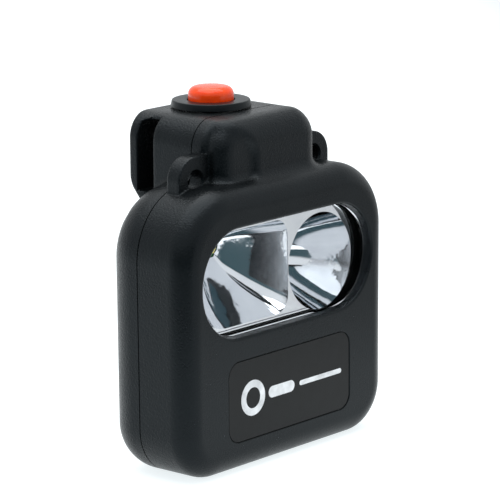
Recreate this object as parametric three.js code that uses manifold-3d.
// Miner's cap lamp: a two-part moulded case with a twin reflector behind a stadium window, a neck
// with a push button on top, two ears in front and a flat strap loop behind.
// Millimetres. +X points right seen from the front, -Y forwards, +Z up. The origin is at the
// middle of the bounding box's underside.
import * as THREE from 'three';
import { mergeVertices } from 'three/addons/utils/BufferGeometryUtils.js';
import Module from 'manifold-3d';

const wasm = await Module();
wasm.setup();

// ---------------------------------------------------------------- driving dimensions
const overallDepth = 37.1;
const frontY = -overallDepth / 2;
const behind = (depth) => frontY + depth; // a Y value from a depth behind the front face

const body = {
  topHalfWidth: 40, bottomHalfWidth: 39.65, height: 72.7, depth: 28.85,
  topCorner: 17.9, bottomCorner: 12.7, frontFillet: 5.75, rearFillet: 10.8,
};
const wall = { side: 3.4, front: 2.6, rear: 2.4, neck: 3.6, neckTop: 3.4, frontFillet: 1, rearFillet: 8.4 };
const parting = { depth: 15.8, gap: 0.3 };
const neck = {
  halfWidth: 19.4, top: 88.3, topCorner: 8, frontDepth: 5.2, frontCorner: 7, topFrontFillet: 6,
  cavityRearDepth: 28.2, cavityBottom: 64,
};
const loop = {
  rearCorner: 0.9, topCorner: 0.8, backBottom: 69.9, chamferDepth: 28, chamferBottom: 58.8,
  slotFront: 29.4, slotRear: 34.15, slotBottom: 68.2, slotTop: 86.3, slotBend: 1.6,
};
const ear = {
  outerX: 29.1, rootX: 16, frontDepth: 11.2, rearDepth: 15.5, top: 80.1, bottom: 66, corner: 6.1,
  holeX: 23, holeZ: 74, holeRadius: 2.5,
};
const pocket = { x: -17.35, frontDepth: 7.25, halfWidth: 8.5, top: 86.4, depth: 1.1, reach: 12 };
const aperture = { halfWidth: 33, halfHeight: 13.9, z: 48.9 };
const label = {
  halfWidth: 24, bottom: 8, top: 29, corner: 4, recess: 0.5, thickness: 0.3, gap: 0.15, glue: 0.05,
};
const lensPlate = { bossFront: 2.3, flangeFront: 3.4, rear: 5, flangeMargin: 1.5, bossGap: 0.25 };
const lensGasket = { margin: 0.3, gap: 0.05 };
const reflectorShell = { front: 5.1, flange: 1, rear: 20.4, thickness: 0.9, flangeMargin: 1.5 };
const mainBowl = { x: -7.5, z: 53, ledRadius: 2.8, right: 4.7, halfHeight: 12.1, corner: 4.5, throat: 0.16 };
const spotBowl = { x: 17.5, z: 47.7, radius: 12.65, ledRadius: 2.4 };
const ledBoard = { left: -20, right: 24, bottom: 43, top: 56, front: 20.7, rear: 22.1 };
const mainLed = { half: 1.75, dome: 1.5 };
const spotLed = { half: 1.5, dome: 1.3 };
const ledBase = { thickness: 0.8, domeSink: 0.7, overlap: 0.4, play: 0.05 };
const spreader = { left: -24, right: 25, bottom: 37, top: 60, front: 22.3, rear: 24 };
const tab = {
  x: 6, halfWidth: 3.2, bottomZ: 29.9, topZ: 67, belowScrew: 2.2, aboveScrew: 1.4, holeRadius: 1.35,
  bossRadius: 2.4, pilotRadius: 1, pilotFront: 13, play: 0.1,
};
const tabScrew = { tip: 14, headRadius: 1.9, headHeight: 1.2, shankRadius: 0.9, play: 0.05 };
const driver = { left: -24, right: 25, bottom: 38, top: 59, front: 24.5, rear: 25.7 };
const cell = { halfWidth: 27, bottom: 5.7, top: 26.6, front: 3.6, thickness: 8.6, gap: 0.4, corner: 1.5 };
const cradleTray = { wall: 0.8, gap: 0.15, height: 12, frontRelief: 0.2 };
const protection = { left: -25, right: -2, front: 8, rear: 17, above: 0.4, thickness: 0.8 };
const lead = { radius: 0.55, positiveX: -22, negativeX: -19 };
const batteryRun = [[15, 28.5], [18, 30], [22.5, 33], [25, 37.2]]; // [depth, z] pairs
const switchRun = [[-6, 19, 75], [-6, 19.5, 71], [-8, 22.5, 66], [-10, 25, 60]]; // [x, depth, z]
const button = {
  depth: 26.15, radius: 5.9, bottom: 89.85, top: 93.7, wall: 1.2, stemRadius: 1.5,
  stemBottom: 82.3, travel: 1.2, crown: 0.22, shoulder: 2.2, roof: 1.4,
};
const spring = { wireRadius: 0.22, coilRadius: 2.9, turns: 3, stepsPerTurn: 14, play: 0.08 };
const collar = {
  outerBottom: 10.4, outerTop: 10, inner: 6.15, top: 90.1, edge: 0.5, side: 1, brow: 0.25, lift: 0.02,
};
const tact = { half: 1.9, front: 3, rear: 1.3, height: 2.4, plunger: 0.7, plungerRadius: 1, gap: 0.1 };
const switchPlate = { halfWidth: 8, front: 9, rear: 1.4, thickness: 1.2, gap: 0.05 };
const clip = { outer: 1.95, play: 0.02, thickness: 0.5 };
const washer = { thickness: 0.55, play: 0.2, gap: 0.1 };
const sealGroove = { inset: 1.3, width: 1.2, halfDepth: 1.1, clearance: 0.15, end: 0.1 };
const caseScrew = {
  inset: 5.4, seat: 22.6, headRadius: 2.6, headHeight: 2.2, shankRadius: 1.25, tip: 8.6,
  sinkRadius: 3.1, bossFront: 3.1, bossRear: 4, insertRadius: 2.1, insertFront: 10, insertRear: 15.2,
  play: 0.25, insertPlay: 0.05, tipPlay: 0.8, threadPlay: 0.06,
};
// Parts of a screw's radius or of its head's height.
const screwShape = { point: 0.6, top: 0.82, brow: 0.3, socket: 0.42, socketDepth: 0.65 };
const contact = {
  x: 7, z: 17, headRadius: 2.4, shankRadius: 1.2, head: 1.4, tail: 25, sink: 0.3, play: 0.1,
};
const switchY = behind(button.depth);
const oRing = { outer: 2.4, tube: 0.4, top: 86.4, play: 0.03 };
const beyond = 1; // how far a cutting tool runs past what it cuts
const bossRoot = 1; // depth at which bosses start, inside the front wall
const arcSteps = 3; // a quarter circle gets twice this many segments

// ---------------------------------------------------------------- materials
const finish = (color, roughness, metalness, opacity = 1) => new THREE.MeshStandardMaterial({
  color, roughness, metalness, opacity, transparent: opacity < 1,
});
const materials = {
  casePlastic: finish(0x17191b, 0.5, 0),
  collarPlastic: finish(0x2b2d30, 0.45, 0),
  buttonPlastic: finish(0xe2431a, 0.25, 0),
  rubber: finish(0x111111, 0.8, 0),
  clear: finish(0xe8eef0, 0.05, 0, 0.3),
  mirror: finish(0xd8dade, 0.12, 1),
  aluminium: finish(0xb8bbc0, 0.4, 1),
  steel: finish(0x9a9da1, 0.35, 1),
  brass: finish(0xc9a24a, 0.35, 1),
  board: finish(0x1d5a35, 0.55, 0),
  phosphor: finish(0xf0d860, 0.4, 0),
  wrap: finish(0x2f6db0, 0.45, 0),
  trayPlastic: finish(0x3a3c40, 0.6, 0),
  labelFilm: finish(0x202224, 0.4, 0),
  redWire: finish(0xb52a20, 0.5, 0),
  blackWire: finish(0x1a1a1a, 0.5, 0),
};

// ---------------------------------------------------------------- solids and cuts
function toSolid(geometry) {
  const bare = geometry.index ? geometry.toNonIndexed() : geometry.clone();
  bare.deleteAttribute('normal');
  bare.deleteAttribute('uv');
  const merged = mergeVertices(bare, 1e-4);
  return new wasm.Manifold(new wasm.Mesh({
    numProp: 3,
    vertProperties: new Float32Array(merged.attributes.position.array),
    triVerts: new Uint32Array(merged.index.array),
  }));
}

function toGeometry(solid) {
  const mesh = solid.getMesh();
  const geometry = new THREE.BufferGeometry();
  geometry.setAttribute('position', new THREE.BufferAttribute(mesh.vertProperties, 3));
  geometry.setIndex(new THREE.BufferAttribute(mesh.triVerts, 1));
  return geometry;
}

const join = (...solids) => solids.reduce((all, next) => all.add(next));
const cut = (solid, ...tools) => tools.reduce((left, tool) => left.subtract(tool), solid);
const common = (...solids) => solids.reduce((all, next) => all.intersect(next));

// An outline in X and Z, run along Y. bevel rounds both ends inside the given depth.
function alongY(shape, yFront, yRear, bevel = 0, curveSegments = arcSteps) {
  const geometry = new THREE.ExtrudeGeometry(shape, {
    depth: yRear - yFront - 2 * bevel, curveSegments, bevelEnabled: bevel > 0,
    bevelThickness: bevel, bevelSize: bevel, bevelOffset: -bevel, bevelSegments: 4,
  });
  geometry.rotateX(Math.PI / 2).translate(0, yRear - bevel, 0);
  return toSolid(geometry);
}

// An outline in X and Y, run along Z.
function alongZ(shape, zBottom, zTop, curveSegments = arcSteps) {
  const geometry = new THREE.ExtrudeGeometry(shape, {
    depth: zTop - zBottom, curveSegments, bevelEnabled: false,
  });
  return toSolid(geometry.translate(0, 0, zBottom));
}

// An outline in Y and Z, run along X.
function alongX(shape, xLeft, xRight, curveSegments = arcSteps) {
  const geometry = new THREE.ExtrudeGeometry(shape, {
    depth: xRight - xLeft, curveSegments, bevelEnabled: false,
  });
  const turn = new THREE.Matrix4().makeBasis(
    new THREE.Vector3(0, 1, 0), new THREE.Vector3(0, 0, 1), new THREE.Vector3(1, 0, 0));
  return toSolid(geometry.applyMatrix4(turn).translate(xLeft, 0, 0));
}

function box(x0, x1, y0, y1, z0, z1) {
  const geometry = new THREE.BoxGeometry(x1 - x0, y1 - y0, z1 - z0);
  return toSolid(geometry.translate((x0 + x1) / 2, (y0 + y1) / 2, (z0 + z1) / 2));
}

// A turned solid about an axis along Y (or Z when upright), from [radius, height] pairs.
function turned(profile, x, yOrZ, upright, segments = 20) {
  const points = profile.map(([radius, height]) => new THREE.Vector2(radius, height));
  const geometry = new THREE.LatheGeometry(points, segments);
  if (upright) return toSolid(geometry.rotateX(Math.PI / 2).translate(x, yOrZ, 0));
  return toSolid(geometry.translate(x, 0, yOrZ));
}

const rodY = (radius, y0, y1, x, z, segments = 20) => turned(
  [[0, y0], [radius, y0], [radius, y1], [0, y1]], x, z, false, segments);
const rodZ = (radius, z0, z1, x, y, segments = 20) => turned(
  [[0, z0], [radius, z0], [radius, z1], [0, z1]], x, y, true, segments);
const ringY = (inner, outer, y0, y1, x, z, segments = 20) => turned(
  [[inner, y0], [outer, y0], [outer, y1], [inner, y1], [inner, y0]], x, z, false, segments);

// ---------------------------------------------------------------- outlines
function roundedRect(x0, x1, y0, y1, radius) {
  const shape = new THREE.Shape();
  shape.moveTo(x0 + radius, y0);
  shape.lineTo(x1 - radius, y0);
  shape.absarc(x1 - radius, y0 + radius, radius, -Math.PI / 2, 0);
  shape.lineTo(x1, y1 - radius);
  shape.absarc(x1 - radius, y1 - radius, radius, 0, Math.PI / 2);
  shape.lineTo(x0 + radius, y1);
  shape.absarc(x0 + radius, y1 - radius, radius, Math.PI / 2, Math.PI);
  shape.lineTo(x0, y0 + radius);
  shape.absarc(x0 + radius, y0 + radius, radius, Math.PI, 1.5 * Math.PI);
  return shape;
}

function bodyOutline(inset) {
  const top = body.height - inset;
  const halfTop = body.topHalfWidth - inset;
  const halfBottom = body.bottomHalfWidth - inset;
  const topCorner = body.topCorner - inset;
  const bottomCorner = body.bottomCorner - inset;
  const shape = new THREE.Shape();
  shape.moveTo(-halfBottom + bottomCorner, inset);
  shape.lineTo(halfBottom - bottomCorner, inset);
  shape.absarc(halfBottom - bottomCorner, inset + bottomCorner, bottomCorner, -Math.PI / 2, 0);
  shape.lineTo(halfTop, top - topCorner);
  shape.absarc(halfTop - topCorner, top - topCorner, topCorner, 0, Math.PI / 2);
  shape.lineTo(-halfTop + topCorner, top);
  shape.absarc(-halfTop + topCorner, top - topCorner, topCorner, Math.PI / 2, Math.PI);
  shape.lineTo(-halfBottom, inset + bottomCorner);
  shape.absarc(-halfBottom + bottomCorner, inset + bottomCorner, bottomCorner, Math.PI, 1.5 * Math.PI);
  return shape;
}

// The neck seen from the front: square below, rounded shoulders above.
function neckOutline(inset, bottom) {
  const half = neck.halfWidth - inset;
  const top = neck.top - inset;
  const radius = neck.topCorner - inset;
  const shape = new THREE.Shape();
  shape.moveTo(-half, bottom);
  shape.lineTo(half, bottom);
  shape.lineTo(half, top - radius);
  shape.absarc(half - radius, top - radius, radius, 0, Math.PI / 2);
  shape.lineTo(-half + radius, top);
  shape.absarc(-half + radius, top - radius, radius, Math.PI / 2, Math.PI);
  return shape;
}

// The neck and strap loop seen from the side.
function neckSide(inset, bottom) {
  const front = behind(neck.frontDepth + inset);
  const top = neck.top - inset;
  const fillet = neck.topFrontFillet - inset;
  const rear = overallDepth / 2;
  const shape = new THREE.Shape();
  shape.moveTo(front, bottom);
  shape.lineTo(behind(loop.chamferDepth), bottom);
  shape.lineTo(behind(loop.chamferDepth), loop.chamferBottom);
  shape.lineTo(rear, loop.backBottom);
  shape.lineTo(rear, top - loop.topCorner);
  shape.absarc(rear - loop.topCorner, top - loop.topCorner, loop.topCorner, 0, Math.PI / 2);
  shape.lineTo(front + fillet, top);
  shape.absarc(front + fillet, top - fillet, fillet, Math.PI / 2, Math.PI);
  return shape;
}

// The neck seen from above, with its front edges rounded more than its rear ones.
function neckPlan(inset, rear) {
  const half = neck.halfWidth - inset;
  const front = behind(neck.frontDepth + inset);
  const corner = neck.frontCorner - inset;
  const shape = new THREE.Shape();
  shape.moveTo(-half + corner, front);
  shape.lineTo(half - corner, front);
  shape.absarc(half - corner, front + corner, corner, -Math.PI / 2, 0);
  shape.lineTo(half, rear - loop.rearCorner);
  shape.lineTo(half - loop.rearCorner, rear);
  shape.lineTo(-half + loop.rearCorner, rear);
  shape.lineTo(-half, rear - loop.rearCorner);
  shape.lineTo(-half, front + corner);
  shape.absarc(-half + corner, front + corner, corner, Math.PI, 1.5 * Math.PI);
  return shape;
}

function stadium(margin) {
  const half = aperture.halfWidth + margin;
  const radius = aperture.halfHeight + margin;
  return roundedRect(-half, half, aperture.z - radius, aperture.z + radius, radius);
}

// Mouth of the main bowl: a half circle on the left, small corners on the right.
function mainMouth(margin) {
  const radius = mainBowl.halfHeight + margin;
  const leftX = -aperture.halfWidth + aperture.halfHeight;
  const corner = mainBowl.corner + margin;
  const right = mainBowl.right + margin;
  const shape = new THREE.Shape();
  shape.moveTo(leftX, aperture.z - radius);
  shape.lineTo(right - corner, aperture.z - radius);
  shape.absarc(right - corner, aperture.z - radius + corner, corner, -Math.PI / 2, 0);
  shape.lineTo(right, aperture.z + radius - corner);
  shape.absarc(right - corner, aperture.z + radius - corner, corner, 0, Math.PI / 2);
  shape.lineTo(leftX, aperture.z + radius);
  shape.absarc(leftX, aperture.z, radius, Math.PI / 2, 1.5 * Math.PI);
  return shape;
}

const contactSeat = behind(body.depth - contact.head - contact.sink);

// ---------------------------------------------------------------- case
// The body's outline between two depths, with rounded front and rear edges.
function bodyBlock(inset, frontDepth, rearDepth, frontFillet, rearFillet) {
  const reach = 30; // how far each half's plain end runs past the other's rounded one
  const fromFront = alongY(bodyOutline(inset), behind(frontDepth), behind(rearDepth + reach), frontFillet);
  const fromRear = alongY(bodyOutline(inset), behind(frontDepth - reach), behind(rearDepth), rearFillet);
  return common(fromFront, fromRear);
}

const bodySolid = bodyBlock(0, 0, body.depth, body.frontFillet, body.rearFillet);

function neckBlock() {
  const bottom = 60;
  const rear = overallDepth / 2;
  return common(
    alongY(neckOutline(0, bottom - 5), frontY, rear + 1),
    alongZ(neckPlan(0, rear), bottom - 5, neck.top + 1),
    alongX(neckSide(0, bottom - 4), -neck.halfWidth - 1, neck.halfWidth + 1));
}

function neckCavity() {
  const rear = behind(neck.cavityRearDepth);
  const top = neck.top - wall.neckTop;
  return common(
    alongY(neckOutline(wall.neck, neck.cavityBottom), frontY, rear),
    alongZ(neckPlan(wall.neck, rear), neck.cavityBottom, top));
}

function eachSide(build) {
  return join(build(-1), build(1));
}

function ears() {
  return eachSide((side) => {
    const x0 = Math.min(side * ear.rootX, side * ear.outerX);
    const x1 = Math.max(side * ear.rootX, side * ear.outerX);
    const shape = roundedRect(x0, x1, ear.bottom, ear.top, ear.corner);
    return alongY(shape, behind(ear.frontDepth), behind(ear.rearDepth));
  });
}

// An arched pocket in the neck's left front corner, cut along the corner's diagonal to an even
// depth, down to the body's shoulder and back to the ear.
function cornerPocket() {
  const bottom = ear.bottom - 6;
  const keep = common(
    alongZ(neckPlan(pocket.depth, overallDepth / 2), bottom, neck.top),
    alongY(neckOutline(pocket.depth, bottom), frontY, overallDepth / 2));
  const inFrontOfEar = box(-body.topHalfWidth, 0, frontY, behind(ear.frontDepth), bottom, neck.top);
  const { halfWidth, top, reach } = pocket;
  const shape = roundedRect(-halfWidth, halfWidth, bottom - halfWidth, top, halfWidth);
  const arch = new THREE.ExtrudeGeometry(shape, { depth: reach, curveSegments: 5, bevelEnabled: false });
  arch.rotateX(Math.PI / 2).translate(0, reach / 2, 0).rotateZ(-Math.PI / 4);
  const placed = toSolid(arch.translate(pocket.x, behind(pocket.frontDepth), 0));
  return cut(common(placed, inFrontOfEar), keep, bodySolid);
}

// The slot between the neck and the loop, rounded where the loop turns down.
function strapSlot() {
  const front = behind(loop.slotFront);
  const rear = behind(loop.slotRear);
  const bend = loop.slotBend;
  const shape = new THREE.Shape();
  shape.moveTo(front, loop.slotBottom);
  shape.lineTo(rear, loop.slotBottom);
  shape.lineTo(rear, loop.slotTop - bend);
  shape.absarc(rear - bend, loop.slotTop - bend, bend, 0, Math.PI / 2);
  shape.lineTo(front, loop.slotTop);
  return alongX(shape, -neck.halfWidth - beyond, neck.halfWidth + beyond);
}

// A band that follows the case and neck outline just inside the rim.
function rimBand(inset, width, yFront, yRear) {
  const outer = join(
    alongY(bodyOutline(inset), yFront, yRear), alongY(neckOutline(inset, 40), yFront, yRear));
  const inner = join(
    alongY(bodyOutline(inset + width), yFront - 1, yRear + 1),
    alongY(neckOutline(inset + width, 40), yFront - 1, yRear + 1));
  return cut(outer, inner);
}

function screwPlaces() {
  const diagonal = Math.SQRT1_2;
  const topReach = (body.topCorner - caseScrew.inset) * diagonal;
  const bottomReach = (body.bottomCorner - caseScrew.inset) * diagonal;
  const topX = body.topHalfWidth - body.topCorner + topReach;
  const topZ = body.height - body.topCorner + topReach;
  const bottomX = body.bottomHalfWidth - body.bottomCorner + bottomReach;
  const bottomZ = body.bottomCorner - bottomReach;
  return [[-topX, topZ], [topX, topZ], [-bottomX, bottomZ], [bottomX, bottomZ]];
}

const wholeCase = join(bodySolid, neckBlock());
const bodyCavity = bodyBlock(
  wall.side, wall.front, body.depth - wall.rear, wall.frontFillet, wall.rearFillet);
const caseCavity = join(bodyCavity, neckCavity());
const groove = rimBand(
  sealGroove.inset - sealGroove.clearance, sealGroove.width + 2 * sealGroove.clearance,
  behind(parting.depth - sealGroove.halfDepth), behind(parting.depth + sealGroove.halfDepth));

// Everything between two Y values, wider than the case.
const slab = (y0, y1) => box(-body.depth * 2, body.depth * 2, y0, y1, -beyond, body.height * 2);

function frontHousing() {
  const rearY = behind(parting.depth) - parting.gap / 2;
  const screwBosses = screwPlaces().map(([x, z]) => rodY(
    caseScrew.bossFront, behind(bossRoot), rearY, x, z));
  const screwHoles = screwPlaces().map(([x, z]) => join(
    rodY(
      caseScrew.insertRadius + caseScrew.insertPlay, behind(caseScrew.insertFront - caseScrew.play),
      rearY + beyond, x, z),
    rodY(
      caseScrew.shankRadius + caseScrew.play, behind(caseScrew.tip - caseScrew.tipPlay),
      rearY + beyond, x, z)));
  const tabPlaces = [tab.bottomZ, tab.topZ];
  const tabBosses = tabPlaces.map((z) => rodY(
    tab.bossRadius, behind(bossRoot), behind(spreader.front - tab.play), tab.x, z));
  const tabHoles = tabPlaces.map((z) => rodY(
    tab.pilotRadius, behind(tab.pilotFront), behind(spreader.front + beyond), tab.x, z, 12));
  const shell = common(cut(wholeCase, caseCavity), slab(frontY - beyond, rearY));
  const withBosses = common(join(shell, ...screwBosses, ...tabBosses), wholeCase);
  const earHoles = eachSide((side) => rodY(
    ear.holeRadius, behind(ear.frontDepth) - beyond, behind(ear.rearDepth) + beyond,
    side * ear.holeX, ear.holeZ, 24));
  return cut(
    join(withBosses, ears()), ...screwHoles, ...tabHoles, groove, cornerPocket(),
    alongY(stadium(0), frontY - beyond, behind(wall.front) + beyond, 0, 8),
    alongY(labelOutline(0), frontY - beyond, behind(label.recess)), earHoles);
}

function rearCover() {
  const frontEdge = behind(parting.depth) + parting.gap / 2;
  const back = behind(body.depth);
  const bosses = screwPlaces().map(([x, z]) => rodY(caseScrew.bossRear, frontEdge, back, x, z));
  const holes = screwPlaces().map(([x, z]) => join(
    rodY(caseScrew.shankRadius + caseScrew.play, frontEdge - beyond, back, x, z),
    rodY(caseScrew.sinkRadius, behind(caseScrew.seat) - tab.play, back + beyond, x, z)));
  const shell = common(cut(wholeCase, caseCavity), slab(frontEdge, overallDepth));
  const withBosses = common(join(shell, ...bosses), wholeCase);
  const boreBottom = neck.top - wall.neckTop - beyond;
  const stemBore = join(
    rodZ(button.stemRadius + caseScrew.play, boreBottom, neck.top + beyond, 0, switchY),
    rodZ(oRing.outer + oRing.play, boreBottom, oRing.top, 0, switchY, 24));
  const contactHoles = eachSide((side) => join(
    rodY(
      contact.headRadius + contact.play, contactSeat - contact.play, back + beyond,
      side * contact.x, contact.z),
    rodY(
      contact.shankRadius + contact.play, behind(contact.tail) - 5, back + beyond,
      side * contact.x, contact.z)));
  return cut(withBosses, ...holes, groove, strapSlot(), stemBore, contactHoles);
}

function labelOutline(inset) {
  return roundedRect(
    -label.halfWidth + inset, label.halfWidth - inset, label.bottom + inset, label.top - inset,
    label.corner - inset);
}

// ---------------------------------------------------------------- lens and reflector
function lens() {
  const flange = alongY(
    stadium(lensPlate.flangeMargin), behind(lensPlate.flangeFront), behind(lensPlate.rear), 0, 8);
  const boss = alongY(
    stadium(-lensPlate.bossGap), behind(lensPlate.bossFront), behind(lensPlate.rear), 0, 8);
  return join(flange, boss);
}

function lensSeal() {
  const front = behind(wall.front + lensGasket.gap);
  const rear = behind(lensPlate.flangeFront - lensGasket.gap);
  return cut(
    alongY(stadium(lensPlate.flangeMargin), front, rear, 0, 8),
    alongY(stadium(lensGasket.margin), front - beyond, rear + beyond, 0, 8));
}

// The spot bowl: a paraboloid about an axis along Y, its mouth at the reflector's front face.
function spotSolid(grow) {
  const mouth = behind(reflectorShell.front);
  const depth = reflectorShell.rear - reflectorShell.front;
  const rings = 7;
  const profile = [[0, mouth - beyond], [spotBowl.radius + grow, mouth - beyond]];
  for (let i = 0; i <= rings; i += 1) {
    const share = i / rings;
    const radius = Math.sqrt(spotBowl.radius ** 2 * (1 - share) + spotBowl.ledRadius ** 2 * share);
    profile.push([radius + grow, mouth + depth * share]);
  }
  profile.push([0, mouth + depth]);
  return turned(profile, spotBowl.x, spotBowl.z, false, 28);
}

// The main bowl: its mouth's outline shrinks towards the emitter on a parabola.
function mainSolid(grow) {
  const mouth = behind(reflectorShell.front);
  const depth = reflectorShell.rear - reflectorShell.front;
  const outline = mainMouth(grow).getPoints(arcSteps + 1).slice(0, -1);
  const rings = 7;
  const count = outline.length;
  const corners = [];
  for (let i = -1; i <= rings; i += 1) {
    const share = Math.max(i, 0) / rings;
    const scale = Math.sqrt(1 - share * (1 - mainBowl.throat ** 2));
    const y = i < 0 ? mouth - beyond : mouth + depth * share;
    outline.forEach((point) => corners.push(
      mainBowl.x + (point.x - mainBowl.x) * scale, y, mainBowl.z + (point.y - mainBowl.z) * scale));
  }
  const last = (rings + 1) * count;
  const faces = [];
  for (let j = 0; j < count; j += 1) {
    const next = (j + 1) % count;
    for (let start = 0; start < last; start += count) {
      faces.push(start + j, start + count + next, start + next);
      faces.push(start + j, start + count + j, start + count + next);
    }
    if (j > 0 && j < count - 1) {
      faces.push(0, j, next);
      faces.push(last, last + next, last + j);
    }
  }
  const geometry = new THREE.BufferGeometry();
  geometry.setAttribute('position', new THREE.Float32BufferAttribute(corners, 3));
  geometry.setIndex(faces);
  return toSolid(geometry);
}

function reflector() {
  const front = behind(reflectorShell.front);
  const rear = behind(reflectorShell.rear);
  const grow = reflectorShell.thickness;
  const flange = alongY(stadium(reflectorShell.flangeMargin), front, front + reflectorShell.flange, 0, 8);
  const behindMouth = box(-body.topHalfWidth, body.topHalfWidth, front + grow / 4, rear, 0, body.height);
  const backs = common(join(mainSolid(grow), spotSolid(grow)), behindMouth);
  const boresFront = rear - overallDepth / 4;
  return cut(
    join(flange, backs), mainSolid(0), spotSolid(0),
    rodY(mainBowl.ledRadius, boresFront, rear + beyond, mainBowl.x, mainBowl.z),
    rodY(spotBowl.ledRadius, boresFront, rear + beyond, spotBowl.x, spotBowl.z));
}

// ---------------------------------------------------------------- light engine
function led(place, size) {
  const { x, z } = place;
  const base = behind(ledBoard.front - ledBase.play);
  const dome = new THREE.SphereGeometry(size.dome, 14, 8).translate(x, base - ledBase.domeSink, z);
  const reach = 3 * size.half;
  const inFront = box(x - reach, x + reach, base - reach, base - ledBase.overlap, z - reach, z + reach);
  const foot = box(
    x - size.half, x + size.half, base - ledBase.thickness, base, z - size.half, z + size.half);
  return join(foot, common(toSolid(dome), inFront));
}

function plate(part) {
  return box(part.left, part.right, behind(part.front), behind(part.rear), part.bottom, part.top);
}

function heatSpreader() {
  const tabs = box(
    tab.x - tab.halfWidth, tab.x + tab.halfWidth, behind(spreader.front), behind(spreader.rear),
    tab.bottomZ - tab.belowScrew, tab.topZ + tab.aboveScrew);
  const holes = [tab.bottomZ, tab.topZ].map((z) => rodY(
    tab.holeRadius, behind(spreader.front) - beyond, behind(spreader.rear) + beyond, tab.x, z, 12));
  return cut(join(plate(spreader), tabs), ...holes);
}

// Pan-head screw along Y, head at the back, with a six-sided socket in the head.
function screw(x, z, tipDepth, seatDepth, headRadius, headHeight, shankRadius) {
  const tip = behind(tipDepth);
  const seat = behind(seatDepth);
  const back = seat + headHeight;
  const shank = turned([
    [0, tip], [shankRadius * screwShape.point, tip], [shankRadius, tip + shankRadius / 2],
    [shankRadius, seat], [headRadius, seat], [headRadius, back - headHeight * screwShape.brow],
    [headRadius * screwShape.top, back], [0, back],
  ], x, z, false, 14);
  const socket = rodY(
    headRadius * screwShape.socket, back - headHeight * screwShape.socketDepth, back + beyond, x, z, 6);
  return cut(shank, socket);
}

// ---------------------------------------------------------------- battery
const cellStack = 2 * cell.thickness + cell.gap;

function batteryCell(index) {
  const front = cell.front + index * (cell.thickness + cell.gap);
  const outline = roundedRect(-cell.halfWidth, cell.halfWidth, cell.bottom, cell.top, cell.corner);
  return alongY(outline, behind(front), behind(front + cell.thickness));
}

function batteryCradle() {
  const { wall: t, gap } = cradleTray;
  const bottom = cell.bottom - gap - t;
  const y0 = behind(cell.front - gap);
  const y1 = behind(cell.front + cellStack + gap);
  const x = cell.halfWidth + gap;
  const tray = box(
    -x - t, x + t, y0 - t + cradleTray.frontRelief, y1 + t, bottom, bottom + cradleTray.height);
  return cut(tray, box(-x, x, y0, y1, cell.bottom - gap, cell.top));
}

function wire(points) {
  const places = points.map(([x, depth, z]) => new THREE.Vector3(x, behind(depth), z));
  const curve = new THREE.CatmullRomCurve3(places);
  const section = new THREE.Shape();
  section.absarc(0, 0, lead.radius, 0, 2 * Math.PI);
  const geometry = new THREE.ExtrudeGeometry(section, { steps: 8, curveSegments: 3, extrudePath: curve });
  return toSolid(geometry);
}

// ---------------------------------------------------------------- switch
function switchCollar() {
  const bottom = neck.top + collar.lift;
  return turned([
    [collar.inner, bottom], [collar.outerBottom, bottom],
    [collar.outerBottom, collar.top - collar.side], [collar.outerTop, collar.top - collar.brow],
    [collar.outerTop - collar.edge, collar.top], [collar.inner + collar.edge, collar.top],
    [collar.inner, collar.top - collar.brow], [collar.inner, bottom],
  ], 0, switchY, true, 32);
}

// A hollow cap with a stem, rounded at the shoulder and slightly crowned on top.
function switchButton() {
  const roof = button.top - button.roof;
  const inner = button.radius - button.wall;
  const flat = button.radius - button.shoulder;
  const shoulderZ = button.top - button.crown - button.shoulder;
  const steps = 5;
  const profile = [
    [0, button.stemBottom], [button.stemRadius, button.stemBottom], [button.stemRadius, roof],
    [inner - 1, roof], [inner, roof - 1], [inner, button.bottom], [button.radius, button.bottom],
  ];
  for (let i = 0; i <= steps; i += 1) {
    const angle = (i / steps) * Math.PI / 2;
    profile.push([
      flat + button.shoulder * Math.cos(angle), shoulderZ + button.shoulder * Math.sin(angle)]);
  }
  profile.push([flat / 2, button.top - button.crown / 4], [0, button.top]);
  return turned(profile, 0, switchY, true, 28);
}

function buttonSpring() {
  const lift = spring.wireRadius + spring.play;
  const z0 = neck.top + lift;
  const z1 = button.top - button.roof - lift;
  class Helix extends THREE.Curve {
    getPoint(share) {
      const angle = share * spring.turns * 2 * Math.PI;
      const x = spring.coilRadius * Math.cos(angle);
      const y = spring.coilRadius * Math.sin(angle);
      return new THREE.Vector3(x, switchY + y, z0 + (z1 - z0) * share);
    }
  }
  const section = new THREE.Shape();
  section.absarc(0, 0, spring.wireRadius, 0, 2 * Math.PI);
  return toSolid(new THREE.ExtrudeGeometry(section, {
    steps: spring.turns * spring.stepsPerTurn, curveSegments: 3, extrudePath: new Helix(),
  }));
}

const stemRing = (inner, outer, z0, z1) => turned(
  [[inner, z0], [outer, z0], [outer, z1], [inner, z1], [inner, z0]], 0, switchY, true, 20);

function buttonSeal() {
  const middle = oRing.top - oRing.tube - oRing.play;
  const geometry = new THREE.TorusGeometry(oRing.outer - oRing.tube, oRing.tube, 8, 20);
  return toSolid(geometry.translate(0, switchY, middle));
}

const washerTop = oRing.top - 2 * oRing.tube - washer.gap;
const washerBottom = washerTop - washer.thickness;
const clipTop = washerBottom - washer.gap;

const tactTop = button.stemBottom - button.travel - tact.gap;

function tactSwitch() {
  const top = tactTop - tact.plunger;
  const front = switchY - tact.front;
  return join(
    box(-tact.half, tact.half, front, switchY + tact.rear, top - tact.height, top),
    rodZ(tact.plungerRadius, top - tact.plunger, tactTop, 0, switchY, 14));
}

function switchBoard() {
  const top = tactTop - tact.plunger - tact.height - switchPlate.gap;
  return box(
    -switchPlate.halfWidth, switchPlate.halfWidth, switchY - switchPlate.front,
    switchY + switchPlate.rear, top - switchPlate.thickness, top);
}

// ---------------------------------------------------------------- the lamp
const lamp = new THREE.Group();

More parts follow.
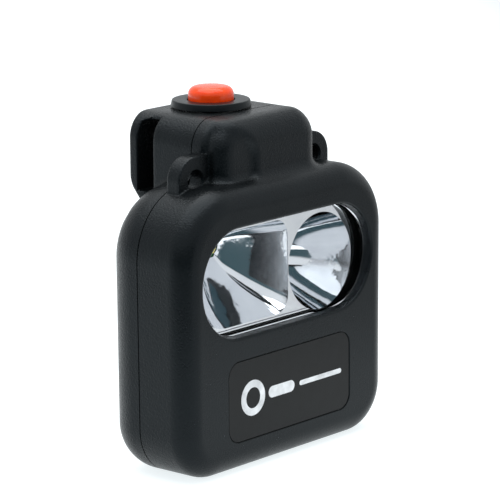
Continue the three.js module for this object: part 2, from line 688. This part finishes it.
function add(name, solid, material) {
  const mesh = new THREE.Mesh(toGeometry(solid), material);
  mesh.name = name;
  lamp.add(mesh);
}

add('front_housing', frontHousing(), materials.casePlastic);
add('rear_cover', rearCover(), materials.casePlastic);
add('housing_seal', rimBand(
  sealGroove.inset, sealGroove.width, behind(parting.depth - sealGroove.halfDepth + sealGroove.end),
  behind(parting.depth + sealGroove.halfDepth - sealGroove.end)), materials.rubber);
add('name_plate', alongY(
  labelOutline(label.gap), behind(label.recess - label.thickness - label.glue),
  behind(label.recess - label.glue)), materials.labelFilm);

add('lens', lens(), materials.clear);
add('lens_seal', lensSeal(), materials.rubber);
add('reflector', reflector(), materials.mirror);
add('led_board', plate(ledBoard), materials.board);
add('main_led', led(mainBowl, mainLed), materials.phosphor);
add('spot_led', led(spotBowl, spotLed), materials.phosphor);
add('heat_spreader', heatSpreader(), materials.aluminium);
[tab.bottomZ, tab.topZ].forEach((z, index) => add(
  `spreader_screw_${index + 1}`, screw(
    tab.x, z, tabScrew.tip, spreader.rear + tabScrew.play, tabScrew.headRadius, tabScrew.headHeight,
    tabScrew.shankRadius), materials.steel));
add('driver_board', plate(driver), materials.board);

add('battery_cell_1', batteryCell(0), materials.wrap);
add('battery_cell_2', batteryCell(1), materials.wrap);
add('battery_cradle', batteryCradle(), materials.trayPlastic);
add('protection_board', box(
  protection.left, protection.right, behind(protection.front), behind(protection.rear),
  cell.top + protection.above, cell.top + protection.above + protection.thickness), materials.board);
const batteryLead = (x) => wire(batteryRun.map(([depth, z]) => [x, depth, z]));
add('battery_lead_pos', batteryLead(lead.positiveX), materials.redWire);
add('battery_lead_neg', batteryLead(lead.negativeX), materials.blackWire);

add('switch_collar', switchCollar(), materials.collarPlastic);
add('switch_button', switchButton(), materials.buttonPlastic);
add('button_spring', buttonSpring(), materials.steel);
add('button_seal', buttonSeal(), materials.rubber);
add('seal_washer', stemRing(
  button.stemRadius + washer.play, oRing.outer, washerBottom, washerTop), materials.steel);
add('stem_clip', stemRing(
  button.stemRadius + clip.play, clip.outer, clipTop - clip.thickness, clipTop), materials.steel);
add('tact_switch', tactSwitch(), materials.blackWire);
add('switch_board', switchBoard(), materials.board);
add('switch_lead', wire(switchRun), materials.blackWire);

screwPlaces().forEach(([x, z], index) => {
  add(`case_screw_${index + 1}`, screw(
    x, z, caseScrew.tip, caseScrew.seat, caseScrew.headRadius, caseScrew.headHeight,
    caseScrew.shankRadius), materials.steel);
  add(`screw_insert_${index + 1}`, ringY(
    caseScrew.shankRadius + caseScrew.threadPlay, caseScrew.insertRadius, behind(caseScrew.insertFront),
    behind(caseScrew.insertRear), x, z, 16), materials.brass);
});
[-1, 1].forEach((side, index) => add(`charge_contact_${index + 1}`, turned([
  [0, behind(contact.tail)], [contact.shankRadius, behind(contact.tail)],
  [contact.shankRadius, contactSeat], [contact.headRadius, contactSeat],
  [contact.headRadius, behind(body.depth - contact.sink)], [0, behind(body.depth - contact.sink)],
], side * contact.x, contact.z, false), materials.brass));

export default lamp;
